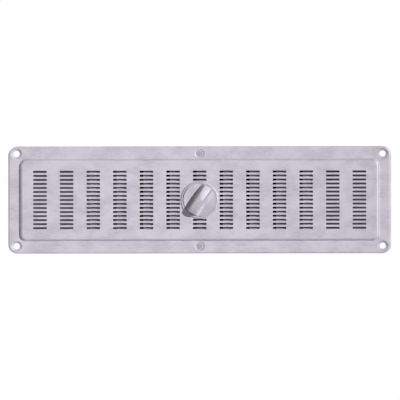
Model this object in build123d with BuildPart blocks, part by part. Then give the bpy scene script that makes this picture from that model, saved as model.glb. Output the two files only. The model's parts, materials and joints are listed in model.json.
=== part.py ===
from build123d import *
import os
from math import asin, atan, cos, degrees, radians, sin, sqrt, tan

# Door vent grille with a sliding shutter behind it, worked by a turning knob.
# Millimetres. The grille hangs as on a door: front towards -Y, X to the right, Z up.
# The origin is the middle of the fixing holes, on the door's face. A height is measured
# from the door's face towards the front.

# Sheet and running clearances
SHEET = 1.0
BEND_INSIDE = 0.6
RUN_GAP = 0.1
SIDE_GAP = 0.3
PRESS_GAP = 0.02
BEARING_GAP = 0.05

# Face plate: fixing holes, rolled rim and raised panel
FIXING_SPAN_X = 303.5
FIXING_SPAN_Z = 76.5
FIXING_EDGE_X = 7.0
FIXING_EDGE_Z = 6.2
FIXING_DIA = 5.1
FIXING_LIP = 0.55
PLATE_CORNER = 7.5
RIM_INSIDE = 0.4
RIM_LAND = 1.2
END_FLANGE = 9.85
PANEL_CORNER = 5.6
PANEL_RISE = 2.8
PANEL_WALL_RUN = 1.1

# Dent in the rolled top edge, left of the middle
DENT_X = -1.8
DENT_RADIUS = 2.6
DENT_DEPTH = 0.55
DENT_ANGLE = 45.0

# Slots: as many as fit on the panel, without those that the knob's skirt would cover
COLUMN_PITCH = 22.05
ROW_PITCH = 3.33
SLOT_LENGTH = 11.2
SLOT_WIDTH = 1.75
COLUMN_MARGIN = 8.0
ROW_MARGIN = 8.8
SKIRT_MARGIN = 0.2

# Shutter: a shallow channel behind the middle columns
OPEN_END_COLUMNS = 2
SHUTTER_SHEET = 0.6
SHUTTER_BEND = 0.3
SHUTTER_OVERLAP = 1.1
WINDOW_MARGIN = 0.95

# Rear strap and the two rivets that hold it
STRAP_SHEET = 0.8
STRAP_WIDTH = 24.0
STRAP_MARGIN = 1.0
STRAP_CORNER = 3.0
DIMPLE_RADIUS = 4.1
DIMPLE_MARGIN = 0.2
DIMPLE_FLOOR_RADIUS = 3.0
DIMPLE_DEPTH = 0.8
RIVET_SHANK_RADIUS = 1.5
RIVET_HEAD_RADIUS = 2.4
RIVET_HEAD_THICK = 0.4
RIVET_TAIL_RADIUS = 4.6
RIVET_TAIL_THICK = 0.5
RIVET_BOSS_WALL = 1.8

# Knob
BODY_RADIUS = 13.4
BODY_STEP = 1.3
GROOVE_WIDTH = 0.6
GROOVE_DEPTH = 0.6
SKIRT_LAND = 0.8
SKIRT_EDGE = 0.7
SKIRT_THICK = 1.0
GRIP_ANGLE = 57.0
GRIP_INSET = 0.2
GRIP_WIDTH = 6.4
GRIP_DRAFT = 5.0
GRIP_HEIGHT = 9.5
GRIP_END_HEIGHT = 5.8
GRIP_EDGE = 1.2
SCOOP_RADIUS = 2.3
SPIGOT_RADIUS = 4.0
BORE_COVER = 1.6

# Spindle, crank and spring washer behind the panel
SPINDLE_RADIUS = 2.0
SPINDLE_CHAMFER = 0.3
SPINDLE_TAIL = 0.5
SPINDLE_SLOT_GAP = 0.4
CRANK_THICK = 1.0
CRANK_HUB_RADIUS = 5.0
CRANK_EYE_RADIUS = 3.2
CRANK_SWING = 90.0
PIN_RADIUS = 1.5
PIN_TENON_RADIUS = 1.1
PIN_GAP = 0.35
PIN_ENTRY = 0.4
WASHER_RADIUS = 7.0
WASHER_SHEET = 0.3
WASHER_HEIGHT = 0.6
WASHER_GAP = 0.2

# Heights above the door's face
FLANGE_FRONT = RIM_LAND + RIM_INSIDE + SHEET
FLANGE_BACK = FLANGE_FRONT - SHEET
PANEL_FRONT = FLANGE_FRONT + PANEL_RISE
PANEL_BACK = PANEL_FRONT - SHEET
STRAP_BACK = FLANGE_BACK - STRAP_SHEET
WEB_BACK = FLANGE_BACK + RUN_GAP
WEB_FRONT = WEB_BACK + SHUTTER_SHEET
CRANK_FRONT = PANEL_BACK - WASHER_HEIGHT
CRANK_BACK = CRANK_FRONT - CRANK_THICK
SKIRT_BACK = PANEL_FRONT + RUN_GAP
SKIRT_TOP = SKIRT_BACK + SKIRT_THICK
BODY_TOP = SKIRT_TOP + BODY_STEP
GRIP_TOP = SKIRT_TOP + GRIP_HEIGHT
GRIP_END_TOP = SKIRT_TOP + GRIP_END_HEIGHT
BORE_TOP = GRIP_TOP - BORE_COVER
DIMPLE_FLOOR = FLANGE_FRONT - DIMPLE_DEPTH

# Outlines worked out from the sizes above
PLATE_LENGTH = FIXING_SPAN_X + 2 * FIXING_EDGE_X
PLATE_HEIGHT = FIXING_SPAN_Z + 2 * FIXING_EDGE_Z
PANEL_LENGTH = PLATE_LENGTH - 2 * END_FLANGE
PANEL_HEIGHT = FIXING_SPAN_Z - 2 * (DIMPLE_RADIUS + DIMPLE_MARGIN)
WALL_DRAFT = degrees(atan(PANEL_WALL_RUN / PANEL_RISE))
WALL_INSET = SHEET * (1 - sin(radians(WALL_DRAFT))) / cos(radians(WALL_DRAFT))
SKIRT_RADIUS = BODY_RADIUS + GROOVE_WIDTH + SKIRT_LAND + SKIRT_EDGE
COLUMNS = 1 + 2 * int((PANEL_LENGTH / 2 - COLUMN_MARGIN - SLOT_LENGTH / 2) / COLUMN_PITCH)
ROWS = 1 + 2 * int((PANEL_HEIGHT / 2 - ROW_MARGIN - SLOT_WIDTH / 2) / ROW_PITCH)
BLANK_ROWS = 1 + 2 * int((SKIRT_RADIUS + SKIRT_MARGIN + SLOT_WIDTH / 2) / ROW_PITCH)
BLANK_HEIGHT = BLANK_ROWS * ROW_PITCH
SHUTTER_COLUMNS = COLUMNS - 2 * OPEN_END_COLUMNS
STRIP_WIDTH = SLOT_LENGTH + 2 * SHUTTER_OVERLAP
WINDOW_WIDTH = COLUMN_PITCH - STRIP_WIDTH
WINDOW_HEIGHT = (ROWS - 1) * ROW_PITCH + SLOT_WIDTH + 2 * WINDOW_MARGIN
SHUTTER_LENGTH = (SHUTTER_COLUMNS - 1) * COLUMN_PITCH + STRIP_WIDTH
SHUTTER_HEIGHT = PANEL_HEIGHT - 2 * (WALL_INSET + PANEL_WALL_RUN + BEND_INSIDE + SIDE_GAP)
BOSS_RADIUS = RIVET_SHANK_RADIUS + RIVET_BOSS_WALL
STRAP_LENGTH = PLATE_HEIGHT - 2 * (SHEET + RIM_INSIDE + STRAP_MARGIN)
STRAP_END = (STRAP_LENGTH - FIXING_SPAN_Z) / 2

# Drive: the grip lies level when the slots are open and stands upright when they are shut.
# The crank pin leads the grip by half the swing, so that it works about the top of its circle.
TRAVEL = COLUMN_PITCH / 2
CRANK_RADIUS = TRAVEL / 2 / sin(radians(CRANK_SWING / 2))
PIN_FIRST_ANGLE = 90 - CRANK_SWING / 2
PIN_ANGLE = PIN_FIRST_ANGLE + GRIP_ANGLE
PIN_X = CRANK_RADIUS * cos(radians(PIN_ANGLE))
PIN_Z = CRANK_RADIUS * sin(radians(PIN_ANGLE))
SHUTTER_SHIFT = TRAVEL * (1 - GRIP_ANGLE / CRANK_SWING)
PIN_LOW = CRANK_RADIUS * cos(radians(CRANK_SWING / 2)) - PIN_GAP
PIN_HIGH = CRANK_RADIUS + PIN_GAP

# Section plane for turned shapes: radius along X, height towards the front
SECTION = Plane(origin=(0, 0, 0), x_dir=(1, 0, 0), z_dir=(0, 0, -1))


def face_plane(height):
    """Sketch plane parallel to the door at this height, seen from the front."""
    return Plane.XZ.offset(height)


def pressed_form(inset):
    """Solid under the front skin of the pressed plate, or under its back skin at one sheet's inset."""
    flange = FLANGE_FRONT - inset
    wall_inset = WALL_INSET * inset / SHEET
    with BuildPart() as form:
        with BuildSketch(face_plane(0)):
            RectangleRounded(PLATE_LENGTH - 2 * inset, PLATE_HEIGHT - 2 * inset, PLATE_CORNER - inset)
        extrude(amount=flange)
        fillet(form.faces().sort_by(Axis.Y)[0].edges(), RIM_INSIDE + SHEET - inset)
        with BuildSketch(face_plane(flange)):
            RectangleRounded(
                PANEL_LENGTH - 2 * wall_inset, PANEL_HEIGHT - 2 * wall_inset, PANEL_CORNER - wall_inset
            )
        extrude(amount=PANEL_RISE, taper=WALL_DRAFT)
        fillet(form.faces().sort_by(Axis.Y)[0].edges(), BEND_INSIDE + SHEET - inset)
        flats = form.faces().filter_by(GeomType.PLANE).filter_by(Axis.Y).sort_by(Axis.Y)
        fillet(flats[1].inner_wires()[0].edges(), BEND_INSIDE + inset)
    return form.part


front_form = pressed_form(0)
back_form = pressed_form(SHEET)

# Front plate: one pressed aluminium sheet
with BuildPart() as front_plate:
    add(front_form)
    add(back_form, mode=Mode.SUBTRACT)

    # Countersunk dimples at the fixing holes, which seat on the door
    fixing_radius = FIXING_DIA / 2
    cone_run = FLANGE_FRONT - FIXING_LIP
    back_offset = SHEET * sqrt(2)
    with Locations(face_plane(0)):
        with GridLocations(FIXING_SPAN_X, FIXING_SPAN_Z, 2, 2):
            Cone(
                fixing_radius - FIXING_LIP + back_offset,
                fixing_radius - FIXING_LIP + FLANGE_BACK + back_offset,
                FLANGE_BACK,
                align=(Align.CENTER, Align.CENTER, Align.MIN),
            )
    with Locations(face_plane(FIXING_LIP)):
        with GridLocations(FIXING_SPAN_X, FIXING_SPAN_Z, 2, 2):
            Cone(
                fixing_radius,
                fixing_radius + cone_run,
                cone_run,
                align=(Align.CENTER, Align.CENTER, Align.MIN),
                mode=Mode.SUBTRACT,
            )
    with BuildSketch(face_plane(0)):
        with GridLocations(FIXING_SPAN_X, FIXING_SPAN_Z, 2, 2):
            Circle(fixing_radius)
    extrude(amount=FLANGE_FRONT, mode=Mode.SUBTRACT)

    # Blind dimples for the strap's rivets, with a boss behind each that locates the strap
    with BuildSketch(face_plane(STRAP_BACK)):
        with GridLocations(0, FIXING_SPAN_Z, 1, 2):
            Circle(BOSS_RADIUS)
    extrude(amount=STRAP_SHEET)
    with Locations(face_plane(DIMPLE_FLOOR)):
        with GridLocations(0, FIXING_SPAN_Z, 1, 2):
            Cone(
                DIMPLE_FLOOR_RADIUS,
                DIMPLE_RADIUS,
                DIMPLE_DEPTH,
                align=(Align.CENTER, Align.CENTER, Align.MIN),
                mode=Mode.SUBTRACT,
            )
    with BuildSketch(face_plane(STRAP_BACK)):
        with GridLocations(0, FIXING_SPAN_Z, 1, 2):
            Circle(RIVET_SHANK_RADIUS + BEARING_GAP)
    extrude(amount=FLANGE_FRONT - STRAP_BACK, mode=Mode.SUBTRACT)

    # Punched slots and the knob's bearing hole
    with BuildSketch(face_plane(PANEL_BACK)):
        with GridLocations(COLUMN_PITCH, ROW_PITCH, COLUMNS, ROWS):
            Rectangle(SLOT_LENGTH, SLOT_WIDTH)
        Rectangle(COLUMN_PITCH, BLANK_HEIGHT, mode=Mode.SUBTRACT)
        Circle(SPIGOT_RADIUS + BEARING_GAP)
    extrude(amount=SHEET, mode=Mode.SUBTRACT)

    # Dent in the rolled edge, pushed in at a slant
    rim_radius = RIM_INSIDE + SHEET
    dent_reach = rim_radius + DENT_RADIUS - DENT_DEPTH
    dent_height = RIM_LAND + dent_reach * sin(radians(DENT_ANGLE))
    dent_z = PLATE_HEIGHT / 2 - rim_radius + dent_reach * cos(radians(DENT_ANGLE))
    with Locations((DENT_X, -dent_height, dent_z)):
        Sphere(DENT_RADIUS, mode=Mode.SUBTRACT)

# Rear strap: a flat bar across the back, forked over the rivets' bosses. It bears the spindle
# and stops the crank pin at both ends of its swing.
with BuildPart() as rear_strap:
    with BuildSketch(face_plane(STRAP_BACK)):
        RectangleRounded(STRAP_WIDTH, STRAP_LENGTH, STRAP_CORNER)
        with GridLocations(0, FIXING_SPAN_Z, 1, 2):
            Circle(BOSS_RADIUS + RUN_GAP, mode=Mode.SUBTRACT)
        with GridLocations(0, FIXING_SPAN_Z + STRAP_END, 1, 2):
            Rectangle(2 * (BOSS_RADIUS + RUN_GAP), STRAP_END, mode=Mode.SUBTRACT)
        Circle(SPINDLE_RADIUS + BEARING_GAP, mode=Mode.SUBTRACT)
        with BuildLine():
            outer = CenterArc((0, 0), CRANK_RADIUS + PIN_RADIUS + PIN_GAP, PIN_FIRST_ANGLE, CRANK_SWING)
            inner = CenterArc((0, 0), CRANK_RADIUS - PIN_RADIUS - PIN_GAP, PIN_FIRST_ANGLE, CRANK_SWING)
            TangentArc(outer @ 1, inner @ 1, tangent=outer % 1)
            TangentArc(inner @ 0, outer @ 0, tangent=-(inner % 0))
        make_face(mode=Mode.SUBTRACT)
    extrude(amount=STRAP_SHEET)

# Strap rivets: flat head in the dimple, shank, and the tail set over the strap
with BuildPart() as strap_rivets:
    rivet_places = GridLocations(0, FIXING_SPAN_Z, 1, 2)
    for foot, radius, length in (
        (DIMPLE_FLOOR, RIVET_HEAD_RADIUS, RIVET_HEAD_THICK),
        (STRAP_BACK, RIVET_SHANK_RADIUS, DIMPLE_FLOOR - STRAP_BACK),
        (STRAP_BACK - RIVET_TAIL_THICK, RIVET_TAIL_RADIUS, RIVET_TAIL_THICK),
    ):
        with BuildSketch(face_plane(foot)):
            with rivet_places:
                Circle(radius)
        extrude(amount=length)

# Shutter: channel with windows, a spindle slot and the crank pin's slot
with BuildPart() as shutter_plate:
    with BuildSketch(face_plane(WEB_BACK)):
        with Locations((SHUTTER_SHIFT, 0)):
            Rectangle(SHUTTER_LENGTH, SHUTTER_HEIGHT)
    extrude(amount=PANEL_BACK - RUN_GAP - WEB_BACK)
    long_edges = shutter_plate.edges().filter_by(Axis.X)
    fillet(long_edges.group_by(Axis.Y)[-1], SHUTTER_BEND + SHUTTER_SHEET)
    with BuildSketch(face_plane(WEB_FRONT)):
        with Locations((SHUTTER_SHIFT, 0)):
            Rectangle(SHUTTER_LENGTH, SHUTTER_HEIGHT - 2 * SHUTTER_SHEET)
    extrude(amount=PANEL_BACK - RUN_GAP - WEB_FRONT, mode=Mode.SUBTRACT)
    with BuildSketch(face_plane(WEB_BACK)):
        with Locations((SHUTTER_SHIFT, 0)):
            with GridLocations(COLUMN_PITCH, 0, SHUTTER_COLUMNS - 1, 1):
                Rectangle(WINDOW_WIDTH, WINDOW_HEIGHT)
        with Locations((SHUTTER_SHIFT - TRAVEL, 0)):
            Rectangle(COLUMN_PITCH, BLANK_HEIGHT, mode=Mode.SUBTRACT)
        with Locations((SHUTTER_SHIFT - TRAVEL / 2, 0)):
            SlotCenterToCenter(TRAVEL, 2 * (SPINDLE_RADIUS + SPINDLE_SLOT_GAP))
        with Locations((SHUTTER_SHIFT - TRAVEL / 2, (PIN_LOW + PIN_HIGH) / 2)):
            Rectangle(2 * (PIN_RADIUS + PIN_GAP), PIN_HIGH - PIN_LOW + 2 * PIN_RADIUS)
    extrude(amount=SHUTTER_SHEET, mode=Mode.SUBTRACT)

# Knob: a turned, domed body with a scoop on each side of the grip, on a grooved skirt with a
# bearing spigot
with BuildPart() as knob:
    draft_slope = tan(radians(GRIP_DRAFT))
    foot_radius = BODY_RADIUS - GRIP_INSET
    end_radius = foot_radius - (GRIP_END_TOP - BODY_TOP) * draft_slope
    dome_fall = GRIP_TOP - GRIP_END_TOP
    dome_radius = (end_radius**2 + dome_fall**2) / (2 * dome_fall)
    dome_sweep = degrees(asin(end_radius / dome_radius))
    with BuildSketch(SECTION):
        with BuildLine():
            Polyline(
                (SKIRT_RADIUS - SKIRT_EDGE, SKIRT_TOP),
                (BODY_RADIUS + GROOVE_WIDTH, SKIRT_TOP),
                (BODY_RADIUS + GROOVE_WIDTH, SKIRT_TOP - GROOVE_DEPTH),
                (BODY_RADIUS, SKIRT_TOP - GROOVE_DEPTH),
                (BODY_RADIUS, BODY_TOP),
                (foot_radius, BODY_TOP),
                (end_radius, GRIP_END_TOP),
            )
            CenterArc((0, GRIP_TOP - dome_radius), dome_radius, 90 - dome_sweep, dome_sweep)
            Polyline(
                (0, GRIP_TOP),
                (0, CRANK_FRONT),
                (SPIGOT_RADIUS, CRANK_FRONT),
                (SPIGOT_RADIUS, SKIRT_BACK),
                (SKIRT_RADIUS, SKIRT_BACK),
                (SKIRT_RADIUS, SKIRT_TOP - SKIRT_EDGE),
            )
            CenterArc((SKIRT_RADIUS - SKIRT_EDGE, SKIRT_TOP - SKIRT_EDGE), SKIRT_EDGE, 0, 90)
        make_face()
    revolve(axis=Axis.Y)
    grip_line = (cos(radians(GRIP_ANGLE)), 0, sin(radians(GRIP_ANGLE)))
    across = (-sin(radians(GRIP_ANGLE)), 0, cos(radians(GRIP_ANGLE)))
    wall_foot = GRIP_WIDTH / 2 + GRIP_HEIGHT * draft_slope
    floor_slope = BODY_STEP / (BODY_RADIUS - wall_foot)
    with BuildSketch(Plane(origin=(0, 0, 0), x_dir=across, z_dir=grip_line)) as scoop:
        with BuildLine():
            Polyline(
                (GRIP_WIDTH / 2, GRIP_TOP),
                (wall_foot, SKIRT_TOP),
                (SKIRT_RADIUS, SKIRT_TOP + (SKIRT_RADIUS - wall_foot) * floor_slope),
                (SKIRT_RADIUS, GRIP_TOP),
                close=True,
            )
        make_face()
        fillet(scoop.vertices().sort_by(Axis.Y)[0], SCOOP_RADIUS)
        mirror(about=Plane.YZ)
    extrude(amount=SKIRT_RADIUS, both=True, mode=Mode.SUBTRACT)
    fillet(knob.faces().filter_by(GeomType.SPHERE).edges(), GRIP_EDGE)
    with BuildSketch(face_plane(CRANK_FRONT)):
        Circle(SPINDLE_RADIUS + PRESS_GAP)
    extrude(amount=BORE_TOP - CRANK_FRONT, mode=Mode.SUBTRACT)

# Spindle: pressed into the knob, through the crank, the shutter's slot and the strap
with BuildPart() as spindle:
    with BuildSketch(face_plane(STRAP_BACK - SPINDLE_TAIL)):
        Circle(SPINDLE_RADIUS)
    extrude(amount=BORE_TOP - PRESS_GAP - STRAP_BACK + SPINDLE_TAIL)
    chamfer(spindle.edges().group_by(Axis.Y)[0], SPINDLE_CHAMFER)
    chamfer(spindle.edges().group_by(Axis.Y)[-1], SPINDLE_CHAMFER)

# Crank plate: a short arm fixed on the spindle behind the panel
with BuildPart() as crank_plate:
    with BuildSketch(face_plane(CRANK_BACK)):
        Circle(CRANK_HUB_RADIUS)
        with Locations((PIN_X, PIN_Z)):
            Circle(CRANK_EYE_RADIUS)
        make_hull()
        Circle(SPINDLE_RADIUS + PRESS_GAP, mode=Mode.SUBTRACT)
        with Locations((PIN_X, PIN_Z)):
            Circle(PIN_TENON_RADIUS + PRESS_GAP, mode=Mode.SUBTRACT)
    extrude(amount=CRANK_THICK)

# Crank pin: its tenon in the crank's eye, its body through the shutter into the strap's slot
with BuildPart() as crank_pin:
    with BuildSketch(face_plane(FLANGE_BACK - PIN_ENTRY)):
        with Locations((PIN_X, PIN_Z)):
            Circle(PIN_RADIUS)
    extrude(amount=CRANK_BACK - FLANGE_BACK + PIN_ENTRY)
    with BuildSketch(face_plane(CRANK_BACK)):
        with Locations((PIN_X, PIN_Z)):
            Circle(PIN_TENON_RADIUS)
    extrude(amount=CRANK_THICK)

# Spring washer: dished, between the panel's back and the crank, so that the knob stays where it is set
with BuildPart() as spring_washer:
    washer_inner = SPIGOT_RADIUS + WASHER_GAP
    washer_low = CRANK_FRONT + BEARING_GAP
    with BuildSketch(SECTION):
        with BuildLine():
            Polyline(
                (washer_inner, washer_low),
                (WASHER_RADIUS, PANEL_BACK - WASHER_SHEET),
                (WASHER_RADIUS, PANEL_BACK),
                (washer_inner, washer_low + WASHER_SHEET),
                close=True,
            )
        make_face()
    revolve(axis=Axis.Y)

os.makedirs("parts", exist_ok=True)
PIECES = {
    "front_plate": front_plate,
    "rear_strap": rear_strap,
    "strap_rivets": strap_rivets,
    "shutter_plate": shutter_plate,
    "knob": knob,
    "spindle": spindle,
    "crank_plate": crank_plate,
    "crank_pin": crank_pin,
    "spring_washer": spring_washer,
}
for name, piece in PIECES.items():
    piece.part.label = name
    export_step(piece.part, f"parts/{name}.step")
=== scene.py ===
"""Looks of the door vent grille: finishes, stage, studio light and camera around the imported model.

Metres. The front of the grille looks towards -Y, X is to the right and Z is up.
"""
import json
import math

import bpy
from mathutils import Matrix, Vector


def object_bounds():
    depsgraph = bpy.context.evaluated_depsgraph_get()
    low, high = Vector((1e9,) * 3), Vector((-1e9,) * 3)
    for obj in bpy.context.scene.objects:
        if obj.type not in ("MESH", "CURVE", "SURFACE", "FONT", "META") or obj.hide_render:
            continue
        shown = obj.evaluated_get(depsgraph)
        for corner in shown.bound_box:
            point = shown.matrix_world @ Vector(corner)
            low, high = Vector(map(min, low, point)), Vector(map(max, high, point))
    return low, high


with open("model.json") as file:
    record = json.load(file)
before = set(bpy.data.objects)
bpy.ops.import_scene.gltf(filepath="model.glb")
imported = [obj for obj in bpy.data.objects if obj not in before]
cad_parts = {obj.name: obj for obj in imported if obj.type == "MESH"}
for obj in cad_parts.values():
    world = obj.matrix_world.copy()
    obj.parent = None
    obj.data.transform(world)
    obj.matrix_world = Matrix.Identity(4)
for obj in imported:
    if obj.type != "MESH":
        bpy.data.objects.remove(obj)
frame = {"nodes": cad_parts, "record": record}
cad_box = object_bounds()
low, high = cad_box
scene = bpy.context.scene
scene.view_settings.view_transform = "Standard"

# Photograph: the image's side, the plate's length in it and the plate's centre, in pixels
IMAGE_SIDE = 400
PLATE_PIXELS = 382.8
PLATE_CENTRE = (199.7, 199.8)

# Camera: its distance, its roll in degrees and its sensor in millimetres
CAMERA_DISTANCE = 4.0
CAMERA_ROLL = 0.08
CAMERA_SENSOR = 36.0

# Finishes: the stretch of a rolled sheet's grain, and spans of a noise that are drawn out in full
MICRON = 1e-6
ROLLED = (0.06, 1, 1)
NARROW_SPAN = (0.36, 0.64)
MIDDLE_SPAN = (0.3, 0.7)
WIDE_SPAN = (0.25, 0.75)
NOISE_ROUGHNESS = 0.55

# Knob's tool lines: their wave in radians a metre, how far they wander and how much they show
TOOL_WAVE = 24000
TOOL_WANDER = 120 * MICRON
TOOL_SHOW = 0.25

# Sockets of a Mix node that mixes colours
MIX_FACTOR, MIX_FIRST, MIX_SECOND, MIX_RESULT = 0, 6, 7, 2

# Floor: its depth below the grille and its reach each way. It turns white away from the middle
FLOOR_DROP = 0.25
FLOOR_REACH = 2.5
FLOOR_COLOUR = (0.6, 0.6, 0.6, 1)
FLOOR_WHITE = dict(start=0.4, end=1.2, first=0.6, last=1.0)
FLOOR_BEHIND = dict(start=0.0, end=0.4)

# Card: its margin inside the plate's outline, its place behind the door's face and its painted light and
# shade: a dark glow for the shade behind the slots, which grows towards both ends and weakens in the
# upper and lower rows of slots
CARD_MARGIN = 0.012
CARD_Y = 0.0006
PAINTED_GLOW_COLOUR = (0.82, 0.78, 1.0, 1)
LEFT_PAINTED_GLOW = dict(start=-0.045, end=-0.110, first=0.002, last=0.105)
RIGHT_PAINTED_GLOW = dict(start=0.060, end=0.120, first=0.0, last=0.080)
UPPER_ROWS_PAINTED_SHADE = dict(start=0.006, end=0.028, first=1.0, last=0.55)
LOWER_ROWS_PAINTED_SHADE = dict(start=-0.008, end=-0.028, first=1.0, last=0.75)

# Lamps: their places, what they aim at, their power in watts and the key's beam in degrees
KEY_AT = 5.0 * Vector((0.606, -0.743, 0.283))
KEY_AIM = Vector((-0.30, 0, -0.08))
KEY_POWER = 1060.0
KEY_BEAM = 15.0
KEY_RADIUS = 0.17
BACK_AT = Vector((-1.4, 1.6, 1.3))
BACK_AIM = Vector((0, 0, 0))
BACK_POWER = 40.0
BACK_SIZE = 1.2

# Room: its light from behind, from above and from the left, and where mirrored rays see it white
ROOM_BEHIND = dict(start=-0.1, end=0.5, first=0.0, last=0.42)
ROOM_ABOVE = dict(start=-0.5, end=0.8, first=0.04, last=0.06)
ROOM_LEFT = dict(start=0.7, end=0.95, first=0.0, last=0.5)
LEFT_HEADING = (-0.95, -0.30, 0.0)
ROOM_WHITE = dict(start=-0.3, end=0.2)


class Graph:
    """Shader nodes of one material or world, with helpers that add to them."""

    def __init__(self, tree, coordinates):
        self.tree = tree
        self.place = self.add("ShaderNodeTexCoord").outputs[coordinates]

    def add(self, kind, inputs=None, **settings):
        """New node with its settings and the values of its input sockets."""
        node = self.tree.nodes.new(kind)
        for name, value in settings.items():
            setattr(node, name, value)
        for name, value in (inputs or {}).items():
            node.inputs[name].default_value = value
        return node

    def link(self, source, target):
        self.tree.links.new(source, target)

    def axis(self, name):
        """The place along X, Y or Z."""
        split = self.add("ShaderNodeSeparateXYZ")
        self.link(self.place, split.inputs["Vector"])
        return split.outputs[name]

    def along(self, direction):
        """How far the place or heading points that way."""
        node = self.add("ShaderNodeVectorMath", {1: direction}, operation="DOT_PRODUCT")
        self.link(self.place, node.inputs[0])
        return node.outputs["Value"]

    def away(self):
        """How far the place is from the origin."""
        node = self.add("ShaderNodeVectorMath", operation="LENGTH")
        self.link(self.place, node.inputs[0])
        return node.outputs["Value"]

    def fade(self, source, start, end, first=0.0, last=1.0):
        """Smooth change from the first value to the last as the source goes from start to end."""
        node = self.add(
            "ShaderNodeMapRange",
            {"From Min": start, "From Max": end, "To Min": first, "To Max": last},
            interpolation_type="SMOOTHSTEP",
        )
        self.link(source, node.inputs["Value"])
        return node.outputs["Result"]

    def calculate(self, operation, *values):
        """Result of one math node, fed with sockets or numbers."""
        node = self.add("ShaderNodeMath", operation=operation)
        for socket, value in zip(node.inputs, values):
            if isinstance(value, (int, float)):
                socket.default_value = value
            else:
                self.link(value, socket)
        return node.outputs["Value"]

    def background_rays(self, start, end):
        """One for camera rays, and for mirrored or refracted ones that end behind the object."""
        path = self.add("ShaderNodeLightPath").outputs
        bent = self.calculate("MAXIMUM", path["Is Glossy Ray"], path["Is Transmission Ray"])
        bent_behind = self.calculate("MULTIPLY", bent, self.fade(self.axis("Y"), start, end))
        return self.calculate("MAXIMUM", path["Is Camera Ray"], bent_behind)

    def show(self, factor, first, second):
        """Surface that goes from the first shader to the second with the factor."""
        mix = self.add("ShaderNodeMixShader")
        self.link(factor, mix.inputs["Fac"])
        self.link(first, mix.inputs[1])
        self.link(second, mix.inputs[2])
        self.link(mix.outputs["Shader"], self.tree.nodes["Material Output"].inputs["Surface"])


class Finish(Graph):
    """Procedural material of one slot: a Principled shader and helpers that feed it."""

    def __init__(self, slot, inputs):
        self.material = bpy.data.materials.new(slot)
        self.material.use_nodes = True
        super().__init__(self.material.node_tree, "Object")
        self.shader = self.tree.nodes["Principled BSDF"]
        for name, value in inputs.items():
            self.shader.inputs[name].default_value = value

    def noise(self, cycles, stretch=(1, 1, 1), detail=3.0):
        """Noise of that many cycles a metre, stretched along the axes."""
        mapping = self.add("ShaderNodeMapping", {"Scale": stretch})
        self.link(self.place, mapping.inputs["Vector"])
        texture = self.add(
            "ShaderNodeTexNoise",
            {"Scale": cycles, "Detail": detail, "Roughness": NOISE_ROUGHNESS},
        )
        self.link(mapping.outputs["Vector"], texture.inputs["Vector"])
        return texture.outputs["Fac"]

    def tint(self, factor, first, second):
        """Colour that goes from the first to the second with the factor."""
        mix = self.add("ShaderNodeMix", data_type="RGBA")
        self.link(factor, mix.inputs[MIX_FACTOR])
        for socket, colour in ((MIX_FIRST, first), (MIX_SECOND, second)):
            if isinstance(colour, tuple):
                mix.inputs[socket].default_value = (*colour, 1.0)
            else:
                self.link(colour, mix.inputs[socket])
        return mix.outputs[MIX_RESULT]

    def bump(self, height, depth):
        """Surface relief of that depth."""
        node = self.add("ShaderNodeBump", {"Distance": depth})
        self.link(height, node.inputs["Height"])
        self.set("Normal", node.outputs["Normal"])

    def set(self, socket, source):
        self.link(source, self.shader.inputs[socket])


def plate_finish(slot):
    """Satin pressed sheet: clouded tone, fine rolled grain along X and small specks."""
    dark_cloud = (0.565, 0.525, 0.605)
    pale_cloud = (0.695, 0.658, 0.745)
    pale_grain = (0.72, 0.684, 0.772)
    dark_speck = (0.53, 0.495, 0.565)
    finish = Finish(slot, {"Metallic": 0.3})
    cloud = finish.noise(cycles=120, stretch=(0.6, 1, 1), detail=4.0)
    grain = finish.noise(cycles=2600, stretch=ROLLED, detail=2.0)
    specks = finish.fade(finish.noise(cycles=900, detail=1.0), start=0.68, end=0.74)
    tone = finish.tint(finish.fade(cloud, *NARROW_SPAN), dark_cloud, pale_cloud)
    tone = finish.tint(finish.fade(grain, *WIDE_SPAN), tone, pale_grain)
    finish.set("Base Color", finish.tint(specks, tone, dark_speck))
    finish.set("Roughness", finish.fade(cloud, *WIDE_SPAN, first=0.46, last=0.58))
    finish.bump(grain, depth=20 * MICRON)
    return finish.material


def mill_finish(slot):
    """Plain mill sheet, much darker than the plate, with rolling lines and a few stains."""
    dark_cloud = (0.27, 0.26, 0.32)
    pale_cloud = (0.33, 0.32, 0.39)
    pale_line = (0.37, 0.36, 0.43)
    finish = Finish(slot, {"Metallic": 0.8})
    cloud = finish.noise(cycles=90, detail=4.0)
    lines = finish.noise(cycles=3200, stretch=ROLLED, detail=2.0)
    tone = finish.tint(finish.fade(cloud, *MIDDLE_SPAN), dark_cloud, pale_cloud)
    tone = finish.tint(finish.fade(lines, start=0.3, end=0.8), tone, pale_line)
    finish.set("Base Color", tone)
    finish.set("Roughness", finish.fade(cloud, *MIDDLE_SPAN, first=0.42, last=0.58))
    finish.bump(lines, depth=20 * MICRON)
    return finish.material


def rivet_finish(slot):
    """Set rivet heads: a little duller than the plate, lightly hammered."""
    dark_cloud = (0.56, 0.53, 0.60)
    pale_cloud = (0.68, 0.64, 0.73)
    finish = Finish(slot, {"Metallic": 0.8, "Roughness": 0.48})
    cloud = finish.noise(cycles=700)
    finish.set("Base Color", finish.tint(cloud, dark_cloud, pale_cloud))
    finish.bump(cloud, depth=60 * MICRON)
    return finish.material


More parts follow.
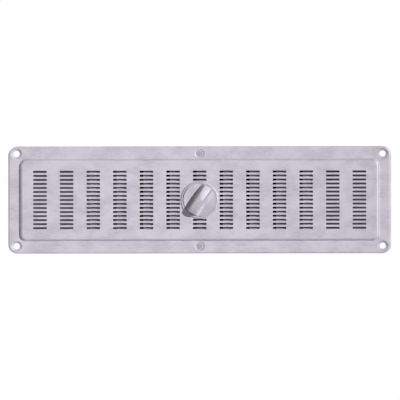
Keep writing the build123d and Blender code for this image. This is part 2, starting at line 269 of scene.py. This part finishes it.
def turned_finish(slot):
    """Turned knob: concentric tool lines about the spindle, which stretch the light across them."""
    dark_cloud = (0.61, 0.585, 0.65)
    pale_cloud = (0.68, 0.655, 0.72)
    dark_line = (0.50, 0.48, 0.54)
    finish = Finish(slot, {"Metallic": 0.5, "Anisotropic": 0.35, "Anisotropic Rotation": 0.25})
    tangent = finish.add("ShaderNodeTangent", direction_type="RADIAL", axis="Y")
    finish.set("Tangent", tangent.outputs["Tangent"])
    square_x = finish.calculate("POWER", finish.axis("X"), 2)
    square_z = finish.calculate("POWER", finish.axis("Z"), 2)
    radius = finish.calculate("SQRT", finish.calculate("ADD", square_x, square_z))
    wander = finish.calculate("MULTIPLY", finish.noise(cycles=60, detail=2.0), TOOL_WANDER)
    wave = finish.calculate("MULTIPLY", finish.calculate("ADD", radius, wander), TOOL_WAVE)
    lines = finish.fade(finish.calculate("SINE", wave), start=-1, end=1)
    cloud = finish.noise(cycles=160)
    tone = finish.tint(finish.fade(cloud, *MIDDLE_SPAN), dark_cloud, pale_cloud)
    tone = finish.tint(finish.calculate("MULTIPLY", lines, TOOL_SHOW), tone, dark_line)
    finish.set("Base Color", tone)
    finish.set("Roughness", finish.fade(cloud, *MIDDLE_SPAN, first=0.58, last=0.66))
    finish.bump(lines, depth=12 * MICRON)
    return finish.material


def strap_finish(slot):
    """Steel strap in a near-black tone that paints the shade seen through the middle slots; mottled,
    rubbed paler in places.
    """
    # Near-black tones: painted shade for the dark space behind the middle slots
    dark_cloud = (0.024, 0.022, 0.030)
    pale_cloud = (0.055, 0.051, 0.064)
    pale_rub = (0.10, 0.095, 0.11)
    finish = Finish(slot, {"Metallic": 0.4})
    cloud = finish.noise(cycles=260, detail=4.0)
    rub = finish.fade(finish.noise(cycles=60, detail=2.0), start=0.58, end=0.72)
    tone = finish.tint(finish.fade(cloud, *MIDDLE_SPAN), dark_cloud, pale_cloud)
    finish.set("Base Color", finish.tint(rub, tone, pale_rub))
    finish.set("Roughness", finish.fade(cloud, *MIDDLE_SPAN, first=0.5, last=0.68))
    finish.bump(cloud, depth=20 * MICRON)
    return finish.material


def steel_finish(slot):
    """Bright zinc plate: faint crystal clouds and small rubbed marks."""
    dark_cloud = (0.48, 0.48, 0.50)
    pale_cloud = (0.62, 0.62, 0.63)
    finish = Finish(slot, {"Metallic": 1.0})
    cloud = finish.noise(cycles=420, detail=4.0)
    marks = finish.noise(cycles=2400, stretch=(1, 1, 0.15), detail=2.0)
    tone = finish.tint(finish.fade(cloud, *MIDDLE_SPAN), dark_cloud, pale_cloud)
    finish.set("Base Color", tone)
    finish.set("Roughness", finish.fade(marks, *MIDDLE_SPAN, first=0.28, last=0.45))
    finish.bump(marks, depth=10 * MICRON)
    return finish.material


FINISHES = {
    "plate_aluminium": plate_finish,
    "mill_aluminium": mill_finish,
    "strap_steel": strap_finish,
    "rivet_aluminium": rivet_finish,
    "turned_aluminium": turned_finish,
    "steel": steel_finish,
}


def dress_nodes():
    """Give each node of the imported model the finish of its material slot."""
    materials = {slot: finish(slot) for slot, finish in FINISHES.items()}
    for part in frame["record"]["subparts"]:
        mesh = frame["nodes"][part["node"]].data
        mesh.materials.clear()
        mesh.materials.append(materials[part["material_slot"]])


def stage_plane(name, middle, right, up):
    """Graph of the empty material on a new flat stage piece, which reaches both ways from its middle."""
    corners = [
        middle - right - up,
        middle + right - up,
        middle + right + up,
        middle - right + up,
    ]
    mesh = bpy.data.meshes.new(name)
    mesh.from_pydata(corners, [], [range(len(corners))])
    piece = bpy.data.objects.new(name, mesh)
    scene.collection.objects.link(piece)
    material = bpy.data.materials.new(name)
    material.use_nodes = True
    material.node_tree.nodes.remove(material.node_tree.nodes["Principled BSDF"])
    mesh.materials.append(material)
    return Graph(material.node_tree, "Object")


def make_floor():
    """Pale floor well below the grille, out of the photograph's view, that fades into white."""
    graph = stage_plane(
        "floor",
        middle=Vector((0, 0, low.z - FLOOR_DROP)),
        right=Vector((FLOOR_REACH, 0, 0)),
        up=Vector((0, FLOOR_REACH, 0)),
    )
    paleness = graph.fade(graph.away(), **FLOOR_WHITE)
    background = graph.background_rays(**FLOOR_BEHIND)
    pale = graph.add("ShaderNodeBsdfDiffuse", {"Color": FLOOR_COLOUR})
    white = graph.add("ShaderNodeEmission")
    factor = graph.calculate("MULTIPLY", paleness, background)
    graph.show(factor, pale.outputs["BSDF"], white.outputs["Emission"])


def make_painted_shade_card():
    """Card glowing with painted shade for the unlit space behind the slots and painted light towards
    both ends, seen by the camera from the front only.
    """
    graph = stage_plane(
        "painted_shade_card",
        middle=Vector((0, CARD_Y, 0)),
        right=Vector((high.x - CARD_MARGIN, 0, 0)),
        up=Vector((0, 0, high.z - CARD_MARGIN)),
    )
    left_painted_glow = graph.fade(graph.axis("X"), **LEFT_PAINTED_GLOW)
    right_painted_glow = graph.fade(graph.axis("X"), **RIGHT_PAINTED_GLOW)
    upper_rows_painted_shade = graph.fade(graph.axis("Z"), **UPPER_ROWS_PAINTED_SHADE)
    lower_rows_painted_shade = graph.fade(graph.axis("Z"), **LOWER_ROWS_PAINTED_SHADE)
    # Painted light that grows towards both ends, dimmed by painted shade in the upper and lower rows of
    # slots
    ends = graph.calculate("ADD", left_painted_glow, right_painted_glow)
    rows = graph.calculate("MULTIPLY", upper_rows_painted_shade, lower_rows_painted_shade)
    # Emission that paints the shade behind the slots and the light at both ends
    painted_glow = graph.add("ShaderNodeEmission", {"Color": PAINTED_GLOW_COLOUR})
    graph.link(graph.calculate("MULTIPLY", ends, rows), painted_glow.inputs["Strength"])
    clear = graph.add("ShaderNodeBsdfTransparent")
    camera_ray = graph.add("ShaderNodeLightPath").outputs["Is Camera Ray"]
    backfacing = graph.add("ShaderNodeNewGeometry").outputs["Backfacing"]
    from_front = graph.calculate("SUBTRACT", camera_ray, backfacing)
    graph.show(from_front, clear.outputs["BSDF"], painted_glow.outputs["Emission"])


def make_lamp(name, kind, at, aim, power, **settings):
    """Lamp that shines from one place towards another and isn't seen itself."""
    data = bpy.data.lights.new(name, kind)
    data.energy = power
    for key, value in settings.items():
        setattr(data, key, value)
    lamp = bpy.data.objects.new(name, data)
    lamp.location = at
    lamp.rotation_euler = (aim - at).to_track_quat("-Z", "Y").to_euler()
    lamp.visible_camera = False
    scene.collection.objects.link(lamp)


def make_lamps():
    """Small key from the upper right in front, and a soft lamp on the back."""
    make_lamp(
        "key",
        "SPOT",
        KEY_AT,
        KEY_AIM,
        KEY_POWER,
        spot_size=math.radians(KEY_BEAM),
        spot_blend=1.0,
        shadow_soft_size=KEY_RADIUS,
    )
    make_lamp("back", "AREA", BACK_AT, BACK_AIM, BACK_POWER, shape="DISK", size=BACK_SIZE)


def make_room():
    """Room that is dim in front, pale behind and bright at the left, and white to the camera."""
    world = bpy.data.worlds.new("studio")
    scene.world = world
    world.use_nodes = True
    graph = Graph(world.node_tree, "Generated")
    behind = graph.fade(graph.axis("Y"), **ROOM_BEHIND)
    above = graph.fade(graph.axis("Z"), **ROOM_ABOVE)
    left = graph.fade(graph.along(LEFT_HEADING), **ROOM_LEFT)
    light = graph.calculate("ADD", graph.calculate("ADD", behind, above), left)
    level = graph.add("ShaderNodeMix", {"B": 1.0}, data_type="FLOAT")
    graph.link(graph.background_rays(**ROOM_WHITE), level.inputs["Factor"])
    graph.link(light, level.inputs["A"])
    background = graph.tree.nodes["Background"]
    background.inputs["Color"].default_value = (1, 1, 1, 1)
    graph.link(level.outputs["Result"], background.inputs["Strength"])


def make_camera():
    """Camera square on to the plate, with a long lens that frames it as in the photograph."""
    pixel = (high.x - low.x) / PLATE_PIXELS
    data = bpy.data.cameras.new("camera")
    data.sensor_width = CAMERA_SENSOR
    data.lens = CAMERA_SENSOR * CAMERA_DISTANCE / (IMAGE_SIDE * pixel)
    camera = bpy.data.objects.new("camera", data)
    camera.location = (
        (IMAGE_SIDE / 2 - PLATE_CENTRE[0]) * pixel,
        -CAMERA_DISTANCE,
        (PLATE_CENTRE[1] - IMAGE_SIDE / 2) * pixel,
    )
    camera.rotation_euler = (math.radians(90), math.radians(CAMERA_ROLL), 0)
    scene.collection.objects.link(camera)
    scene.camera = camera


dress_nodes()
make_floor()
make_painted_shade_card()
make_lamps()
make_room()
make_camera()
